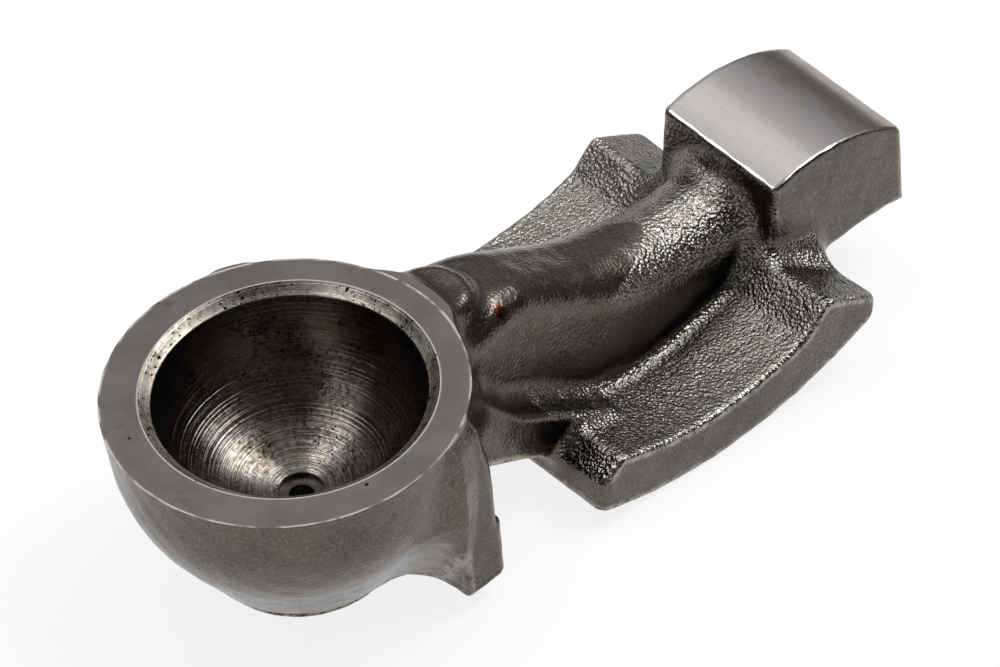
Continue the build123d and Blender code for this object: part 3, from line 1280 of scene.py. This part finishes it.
@dataclass(frozen=True)
class GroundSteel:
    """Ground steel: near-mirror with hair-fine lines across the arm and a brown tint in patches, more of it
    towards the rear.

    The lines are drawn 0.11 mm apart, several times as coarse as the wheel leaves them.
    """

    name: str
    colour: str
    groove: str = "#6f6a66"
    tint: str = "#86684a"
    roughness: float = 0.21
    line: float = 0.11
    line_length: float = 60.0
    haze: float = 2.5
    depth: float = 0.0016
    tint_from: float = 48.0
    tint_to: float = 57.0

    def material(self) -> bpy.types.Material:
        """Lines that run across the arm, stretched to many times their width, and haze.

        Returns:
            The material.
        """
        r = Recipe(self.name)
        where = r.place()
        drawn = r.vector("MULTIPLY", where, (1, 1 / self.line_length, 1)).outputs[0]
        lines = r.noise(drawn, self.line, 3.0)
        haze = r.noise(where, self.haze, 4.0)
        along = add(r.tree, "SeparateXYZ", None, Vector=where).outputs["X"]
        # browner in patches and towards the rear of the crown
        rear = r.between(along, self.tint_from * MM, self.tint_to * MM)
        tinted = r.between(r.sum((haze, 0.8), (rear, 0.45)), 0.45, 1.05, 0.0, 0.8)
        colour = r.blend(tinted, linear(self.colour), linear(self.tint))
        colour = r.blend(r.between(lines, 0.5, 0.8, 0.0, 0.2), colour, linear(self.groove))
        rough = r.sum((haze, 0.12), (lines, 0.08), (self.roughness - 0.1, 1.0))
        return r.metal(colour, rough, lines, self.depth * MM)


# ------------------------------------------------------------------ the object
@dataclass(frozen=True)
class Wear:
    """Where the shot struck hardest, which also sets a painted sheen and painted glints, where oil
    stain and painted shade darken the hollows, where painted shade darkens the deep hollows,
    and where edges are worn bright with a painted highlight.

    Lengths are in millimetres in the machining frame; the strengths of the shot are
    shares of the deepest dimples.
    """

    everywhere: float = 0.22
    on_trays: float = 0.6
    on_neck: float = 0.2
    on_spine: float = 0.05
    in_hollows: float = 0.6
    tray_from: float = 17.5
    tray_top: float = -8.0
    tray_upward: float = 0.35
    neck_from: float = 35.0
    neck_to: float = 43.6
    spine_from: float = 14.0
    spine_to: float = 43.0
    spine_half_width: float = 5.5
    foot_reach: float = 9.0
    foot_top: float = -14.1
    foot_low: float = -14.9
    hollow_reach: float = 1.2
    deep_reach: float = 4.0
    edge_reach: float = 0.7

    @staticmethod
    def shortfall(shape: Field, points: Array, normal: Array, reach: float) -> Array:
        """Tell hollows and edges from flat skin.

        A step straight out of a flat surface is read back in full. In a hollow the
        reading a little outside falls short of the step, and along an edge the reading
        a little inside does.

        Args:
            shape: signed distance to the skin.
            points: (n, 3) points on it.
            normal: (n, 3) outward directions there.
            reach: length of the step, negative for inwards.

        Returns:
            How much of the step is missing, as a share of it.
        """
        return 1 - shape(*(points + reach * normal).T) / reach

    def marks(self, shape: Field, points: Array) -> dict[str, Array]:
        """Work out the surface values that the forged skin reads.

        Args:
            shape: signed distance to the forged skin.
            points: (n, 3) points on it.

        Returns:
            Values from 0 to 1 by name, one for each point.
        """
        normal = slope(shape, points)
        hollow = self.shortfall(shape, points, normal, self.hollow_reach)
        deep = self.shortfall(shape, points, normal, self.deep_reach)
        edge = self.shortfall(shape, points, normal, -self.edge_reach)
        x, y, z = points.T
        by_foot = x < self.foot_reach
        foot = np.clip((self.foot_top - z) / 0.4, 0, 1) * by_foot * (np.hypot(x, y) < self.foot_reach)
        # tray floors that face upwards; the shot here also sets a painted sheen and painted glints
        tray = (x > self.tray_from) & (z < self.tray_top) & (normal[:, 2] > self.tray_upward)
        neck = np.clip((x - self.neck_from) / 3, 0, 1) * np.clip(self.neck_to - x, 0, 1)
        on_spine = (np.abs(y) < self.spine_half_width) * (x < self.spine_to)
        spine = np.clip((x - self.spine_from) / 8, 0, 1) * on_spine
        behind_cup = np.clip((x - self.spine_from) / 3, 0, 1)
        shot = self.everywhere + self.on_trays * tray + self.on_neck * neck + self.on_spine * spine
        shot = shot + self.in_hollows * np.clip(1.8 * hollow, 0, 1) * behind_cup
        return {
            # depth of the dimples, and the painted sheen and glints
            "shot": np.clip(shot, 0, 1),
            # oil stain and painted shade in the hollows, darker under the foot
            "hollow": np.clip(1.6 * hollow + 0.6 * ((z < self.foot_low) & by_foot), 0, 1),
            # painted shade in the deep hollows, and darker towards the lower foot
            "deep": np.clip(1.8 * deep - 0.25 + 0.6 * foot, 0, 1),
            # worn edges with a painted highlight
            "edge": np.clip(3.0 * edge - 0.3, 0, 1),
        }


@dataclass
class RockerArm:
    """The whole arm: its solid, the mesh laid on the table, and its finishes.

    Step is the side of the cubes that the solid is meshed with, and low and high are
    the corners of the space they fill, in millimetres. A face takes its shading from
    places drawn in from its corners by the share inset, so that both sides of a sharp
    edge keep their own.
    """

    solid: Arm = field(default_factory=Arm)
    wear: Wear = field(default_factory=Wear)
    step: float = 0.275
    low: tuple[float, float, float] = (-14.5, -13.9, -21.3)
    high: tuple[float, float, float] = (57.3, 13.9, 1.4)
    inset: float = 0.3
    near: float = 0.01
    on_face: float = 0.03
    cam_from: float = 18.0
    cam_to: float = 46.3

    def regions(self, points: Array) -> Array:
        """Find which surface each point lies on: that of the cut that is nearest to it.

        Args:
            points: (n, 3) points on the arm.

        Returns:
            The value of each point's region.
        """
        x, y, z = points.T
        skin, solid, plate = Region.SKIN.value, self.solid, self.solid.plate
        kinds = [Region.RIM, Region.LEAD_IN, Region.SEAT, Region.HOLE, Region.HOLE, Region.CROWN]
        best = solid.forged(x, y, z) + self.near
        region = np.full(len(points), skin)
        for kind, cut in zip(kinds, solid.cuts(x, y, z)):
            region = np.where(cut > best, kind.value, region)
            best = np.maximum(best, cut)
        from_axis = np.hypot(x - plate.cam_x, z - plate.cam_low - plate.cam_radius)
        cam = np.abs(from_axis - plate.cam_radius) < self.on_face
        cam = cam & (x > self.cam_from) & (x < self.cam_to) & (region == skin)
        region = np.where(cam, Region.CAM_FACE.value, region)
        foot = (np.abs(z + solid.cup.foot_depth) < self.on_face) & (region == skin)
        return np.where(foot, Region.FOOT.value, region)

    def finishes(self) -> dict[Region, ForgedSkin | MilledRim | TurnedSteel | GroundSteel]:
        """Choose the finish of each surface.

        Returns:
            The finish by region.
        """
        countersunk = TurnedSteel(
            "steel, countersunk and pitted", "#cfc6ba", "#3d2f1f",
            roughness=0.34, pitch=0.2, ring_depth=0.02, pit_size=0.3, pit_share=0.64,
        )
        seat = TurnedSteel(
            "steel, turned ball seat", "#8a837c", "#2b1f16",
            roughness=0.24, pitch=0.34, ring_depth=0.02, pit_share=0.635,
        )
        foot = TurnedSteel(
            "steel, turned foot", "#7a746f", "#4a4037", roughness=0.38, pitch=0.22, ring_depth=0.008
        )
        return {
            Region.SKIN: ForgedSkin(),
            Region.RIM: MilledRim(),
            Region.LEAD_IN: countersunk,
            Region.SEAT: seat,
            Region.HOLE: TurnedSteel("steel, drilled", "#6b655f", "#201915", roughness=0.35),
            Region.CROWN: GroundSteel("steel, ground and polished", "#aaa7a5"),
            Region.CAM_FACE: GroundSteel("steel, ground sliding face", "#a09c98", roughness=0.24),
            Region.FOOT: foot,
        }

    def mesh(self, box: Array) -> bpy.types.Mesh:
        """Mesh the solid and lay it on the table.

        Args:
            box: lowest and highest corner that the mesh keeps within, in metres.

        Returns:
            The mesh, with the region of each face and the marks of each point.
        """
        spots, quads = contour(self.solid.field, np.array(self.low), np.array(self.high), self.step)
        log.info("surface: %d points, %d faces", len(spots), len(quads))
        centres = spots[quads].mean(1)
        corners = (1 - self.inset) * spots[quads] + self.inset * centres[:, None]
        normals = slope(self.solid.field, corners.reshape(-1, 3))
        mesh = bpy.data.meshes.new("rocker_arm_skin")
        mesh.vertices.add(len(spots))
        mesh.vertices.foreach_set("co", np.clip(lay(spots) * MM, *box).ravel())
        mesh.loops.add(quads.size)
        mesh.loops.foreach_set("vertex_index", quads.ravel().astype(np.int32))
        mesh.polygons.add(len(quads))
        mesh.polygons.foreach_set("loop_start", np.arange(len(quads), dtype=np.int32) * 4)
        mesh.polygons.foreach_set("material_index", self.regions(centres).astype(np.int32))
        mesh.update(calc_edges=True)
        mesh.shade_smooth()
        mesh.normals_split_custom_set(lay(normals).tolist())
        for name, values in self.wear.marks(self.solid.forged, spots).items():
            mesh.attributes.new(name, "FLOAT", "POINT").data.foreach_set("value", values.astype(np.float32))
        return mesh

    def build(self, box: Array) -> bpy.types.Object:
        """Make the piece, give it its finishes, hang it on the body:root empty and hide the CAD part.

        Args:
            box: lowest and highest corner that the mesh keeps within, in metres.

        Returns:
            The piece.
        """
        mesh = self.mesh(box)
        finishes = self.finishes()
        for region in Region:
            mesh.materials.append(finishes[region].material())
        piece = bpy.data.objects.new("rocker_arm_forging", mesh)
        bpy.context.scene.collection.objects.link(piece)
        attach(piece, "root")
        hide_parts("rocker_arm")
        return piece


def lay(points: Array) -> Array:
    """Turn points or directions from the machining frame to the arm as it rests on the table.

    Args:
        points: (n, 3) points or directions.

    Returns:
        The same, turned.
    """
    c, s = math.cos(REST_TILT), math.sin(REST_TILT)
    x, y, z = points.T
    return np.column_stack([x * c - z * s, y, x * s + z * c])


# ------------------------------------------------------------------ the studio
def looking(spot: tuple, aim: tuple, up: tuple) -> Matrix:
    """Place a lamp or a camera.

    Args:
        spot: where it stands, in metres.
        aim: the direction it looks in.
        up: the direction that its top is turned to.

    Returns:
        Its world matrix.
    """
    back = -np.array(aim, float)
    back /= np.linalg.norm(back)
    right = np.cross(up, back)
    right /= np.linalg.norm(right)
    top = np.cross(back, right)
    place = np.eye(4)
    place[:3, 0], place[:3, 1], place[:3, 2], place[:3, 3] = right, top, back, spot
    return Matrix(place.tolist())


@dataclass(frozen=True)
class Softbox:
    """A square soft light that faces the arm.

    Its place is an azimuth and an elevation in degrees and a distance in metres from
    the middle of the arm; side is in metres and radiance is how bright it looks.
    """

    name: str
    azimuth: float
    elevation: float
    distance: float
    side: float
    radiance: float
    arm_middle: tuple[float, float, float] = (0.02, 0.0, 0.0)
    level: tuple[float, float, float] = (0.0, 1.0, 0.01)

    def build(self) -> None:
        """Hang the light; its power is radiance times area times pi."""
        data = bpy.data.lights.new(self.name, "AREA")
        data.shape = "SQUARE"
        data.size = self.side
        data.energy = self.radiance * self.side**2 * math.pi
        lamp = bpy.data.objects.new(self.name, data)
        bpy.context.scene.collection.objects.link(lamp)
        az, el = math.radians(self.azimuth), math.radians(self.elevation)
        toward = np.array([math.cos(az) * math.cos(el), math.sin(az) * math.cos(el), math.sin(el)])
        spot = toward * self.distance + np.array(self.arm_middle)
        lamp.matrix_world = looking(tuple(spot), tuple(-toward), self.level)


@dataclass(frozen=True)
class Room:
    """A dim room with one pale wall that brightens towards the ceiling."""

    name: str = "room"
    white: str = "#ffffff"
    dim: float = 0.07
    wall_azimuth: float = 50.0
    wall_edge: float = 0.15
    wall_full: float = 0.5
    wall_glow: float = 1.2
    wall_rise: float = 1.6
    wall_foot: float = 0.08

    def build(self) -> None:
        """Set the world: the wall's share by direction, times its glow by height."""
        world = bpy.data.worlds.new(self.name)
        world.use_nodes = True
        tree = world.node_tree
        tree.nodes.clear()
        toward = add(tree, "TexCoord").outputs["Generated"]
        az = math.radians(self.wall_azimuth)
        facing = (math.cos(az), math.sin(az), 0)
        back = add(tree, "VectorMath", {"operation": "DOT_PRODUCT"}, i0=toward, i1=facing).outputs["Value"]
        ease = {"interpolation_type": "SMOOTHSTEP"}
        share = add(tree, "MapRange", ease, Value=back, From_Min=self.wall_edge, From_Max=self.wall_full)
        up = add(tree, "SeparateXYZ", None, Vector=toward).outputs["Z"]
        high = add(tree, "Math", {"operation": "POWER"}, i0=up, i1=self.wall_rise).outputs[0]
        then = {"operation": "MULTIPLY_ADD"}
        wall = add(tree, "Math", then, i0=high, i1=self.wall_glow, i2=self.wall_foot).outputs[0]
        level = add(tree, "Math", then, i0=wall, i1=share.outputs[0], i2=self.dim).outputs[0]
        glow = add(tree, "Background", None, Color=linear(self.white), Strength=level)
        add(tree, "OutputWorld", None, Surface=glow.outputs[0])
        bpy.context.scene.world = world


@dataclass(frozen=True)
class Floor:
    """A plain pale sheet that keeps the shadow; seen directly or in the metal it is near white."""

    height: float = -16.575
    side: float = 3.0
    paper: str = "#f4f4f4"
    glow: str = "#ffffff"
    glow_share: float = 0.85

    def build(self) -> None:
        """Lay the sheet under the arm and make it a stage piece."""
        half, z = self.side / 2, self.height * MM
        mesh = bpy.data.meshes.new("floor")
        corners = [(-half, -half, z), (half, -half, z), (half, half, z), (-half, half, z)]
        mesh.from_pydata(corners, [], [(0, 1, 2, 3)])
        floor = bpy.data.objects.new("floor", mesh)
        bpy.context.scene.collection.objects.link(floor)
        mesh.materials.append(self.material())
        floor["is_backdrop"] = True

    def material(self) -> bpy.types.Material:
        """Matt paper, with a glow for rays that come from the camera or the metal.

        Returns:
            The material.
        """
        recipe = Recipe("paper, white, matt")
        tree = recipe.tree
        ray = add(tree, "LightPath").outputs
        either = {"operation": "MAXIMUM"}
        seen = add(tree, "Math", either, i0=ray["Is Camera Ray"], i1=ray["Is Glossy Ray"]).outputs[0]
        seen = add(tree, "Math", either, i0=seen, i1=ray["Is Transmission Ray"]).outputs[0]
        glow = add(tree, "Emission", None, Color=linear(self.glow), Strength=1.0).outputs[0]
        paper = add(tree, "BsdfDiffuse", None, Color=linear(self.paper)).outputs[0]
        share = recipe.times(seen, self.glow_share)
        mixed = add(tree, "MixShader", None, Fac=share, i1=paper, i2=glow).outputs[0]
        add(tree, "OutputMaterial", None, Surface=mixed)
        return recipe.material


@dataclass(frozen=True)
class View:
    """The camera, given in the machining frame: its place in millimetres and its directions."""

    lens: float = 252.05
    film: float = 36.0
    reach: float = 10.0
    spot: tuple[float, float, float] = (-213.17, -278.63, 357.30)
    aim: tuple[float, float, float] = (0.4522, 0.5402, -0.7097)
    top: tuple[float, float, float] = (0.5238, 0.4831, 0.7016)

    def build(self) -> None:
        """Set up the camera and make it the scene's own."""
        data = bpy.data.cameras.new("camera")
        data.lens = self.lens
        data.sensor_width = self.film
        data.clip_end = self.reach
        camera = bpy.data.objects.new("camera", data)
        bpy.context.scene.collection.objects.link(camera)
        spot, aim, top = lay(np.array([self.spot, self.aim, self.top]))
        camera.matrix_world = looking(tuple(spot * MM), tuple(aim), tuple(top))
        bpy.context.scene.camera = camera


@dataclass(frozen=True)
class Studio:
    """Pale floor, dim room, soft lights and the camera."""

    lights: tuple[Softbox, ...] = (
        Softbox("key_right", -20, 58, 0.6, 0.3, 9.0),
        Softbox("key_left", 128, 62, 0.6, 0.22, 6.5),
        Softbox("overhead", 45, 80, 0.64, 0.6, 0.4),
        Softbox("left_behind", 172, 36, 0.9, 0.5, 1.0),
    )

    def build(self) -> None:
        """Build all of it, and leave the colours as the lights make them."""
        for part in (Floor(), Room(), *self.lights, View()):
            part.build()
        bpy.context.scene.view_settings.view_transform = "Standard"


def main() -> None:
    """Build the arm inside the CAD box and its studio, and log the number of faces."""
    logging.basicConfig(level=logging.INFO, format="%(name)s: %(message)s")
    cad_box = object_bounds()
    piece = RockerArm().build(np.array(cad_box))
    log.info("built %s: %d faces", piece.name, len(piece.data.polygons))
    Studio().build()


if __name__ == "__main__":
    main()
